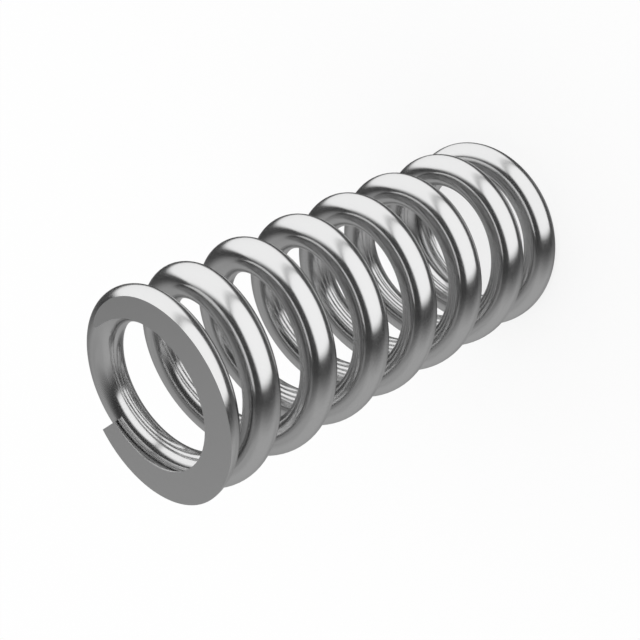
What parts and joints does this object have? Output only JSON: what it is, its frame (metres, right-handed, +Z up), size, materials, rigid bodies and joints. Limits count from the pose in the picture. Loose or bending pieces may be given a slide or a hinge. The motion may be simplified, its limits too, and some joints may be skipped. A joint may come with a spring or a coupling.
{
  "type": "valve spring",
  "caption": "Helical compression spring of round steel wire, wound left-handed, with closed ends ground flat.",
  "frame": {"origin": "centre of the lower ground end, on its plane", "axes": "+Z up the coil's axis, from the lower ground end to the upper one; the wire's lower end starts at +X"},
  "size_m": [0.0246, 0.0246, 0.058],
  "materials": {
    "spring_steel": "polished drawn spring steel wire, with the two end faces ground to a satin grey"
  },
  "bodies": {
    "root": {"valve_spring": "spring_steel"}
  },
  "joints": []
}
